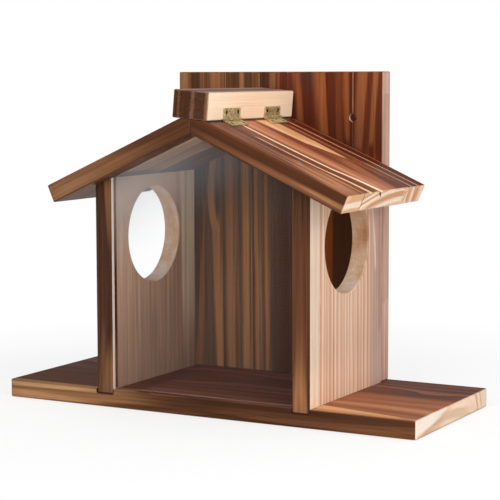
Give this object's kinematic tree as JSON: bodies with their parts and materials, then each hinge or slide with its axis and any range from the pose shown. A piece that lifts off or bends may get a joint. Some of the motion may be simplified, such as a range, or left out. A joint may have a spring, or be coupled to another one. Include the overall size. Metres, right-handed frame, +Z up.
{
  "type": "squirrel feeder box",
  "caption": "Gabled wooden nut feeder on a long base board, with round side entries, a clear front pane and a hinged ridge lid.",
  "frame": {"origin": "middle of the base board's underside", "axes": "+X to the right seen from the front, +Y to the back, +Z up"},
  "size_m": [0.37, 0.161, 0.272],
  "materials": {
    "base_wood": "scorched and oiled softwood, satin",
    "wall_wood": "scorched and oiled softwood with dark grain stripes, satin",
    "back_wood": "scorched and oiled softwood, dark, satin",
    "roof_wood": "scorched and oiled softwood with pale streaks, satin",
    "lid_wood": "pale softwood with a scorched top and front end, satin",
    "clear_acrylic": "clear acrylic sheet with polished faces and sawn edges",
    "aged_brass": "aged brass, dull and speckled",
    "zinc_steel": "zinc-plated steel, satin"
  },
  "bodies": {
    "feeder_body": {"base_board": "base_wood", "left_side_wall_front_stave": "wall_wood", "left_side_wall": "wall_wood", "right_side_wall_front_stave": "wall_wood", "right_side_wall": "wall_wood", "front_pane": "clear_acrylic", "back_board_left_stave": "back_wood", "back_board_middle_stave": "back_wood", "back_board_right_stave": "back_wood", "left_roof_front_stave": "roof_wood", "left_roof_middle_stave": "roof_wood", "left_roof_rear_stave": "roof_wood", "right_roof_front_stave": "roof_wood", "right_roof_middle_stave": "roof_wood", "right_roof_rear_stave": "roof_wood", "front_hinge_fixed_leaf": "aged_brass", "front_hinge_fixed_screw_1": "aged_brass", "front_hinge_fixed_screw_2": "aged_brass", "front_hinge_pin": "aged_brass", "rear_hinge_fixed_leaf": "aged_brass", "rear_hinge_fixed_screw_1": "aged_brass", "rear_hinge_fixed_screw_2": "aged_brass", "rear_hinge_pin": "aged_brass", "screw_base_to_left_wall_front": "zinc_steel", "screw_base_to_left_wall_rear": "zinc_steel", "screw_back_to_left_wall_lower": "zinc_steel", "screw_back_to_left_wall_upper": "zinc_steel", "screw_back_to_left_roof_inner": "zinc_steel", "screw_back_to_left_roof_outer": "zinc_steel", "screw_base_to_right_wall_front": "zinc_steel", "screw_base_to_right_wall_rear": "zinc_steel", "screw_back_to_right_wall_lower": "zinc_steel", "screw_back_to_right_wall_upper": "zinc_steel", "screw_back_to_right_roof_inner": "zinc_steel", "screw_back_to_right_roof_outer": "zinc_steel", "screw_base_to_back_left": "zinc_steel", "screw_base_to_back_middle": "zinc_steel", "screw_base_to_back_right": "zinc_steel"},
    "lid": {"ridge_lid": "lid_wood", "front_hinge_lid_leaf": "aged_brass", "front_hinge_lid_screw_1": "aged_brass", "front_hinge_lid_screw_2": "aged_brass", "rear_hinge_lid_leaf": "aged_brass", "rear_hinge_lid_screw_1": "aged_brass", "rear_hinge_lid_screw_2": "aged_brass"}
  },
  "joints": [
    {"name": "lid_hinge", "type": "hinge", "parent": "feeder_body", "child": "lid", "pos_m": [0.017, 0, 0.23491], "axis": [0, 1, 0], "range_deg": [0, 105]}
  ]
}
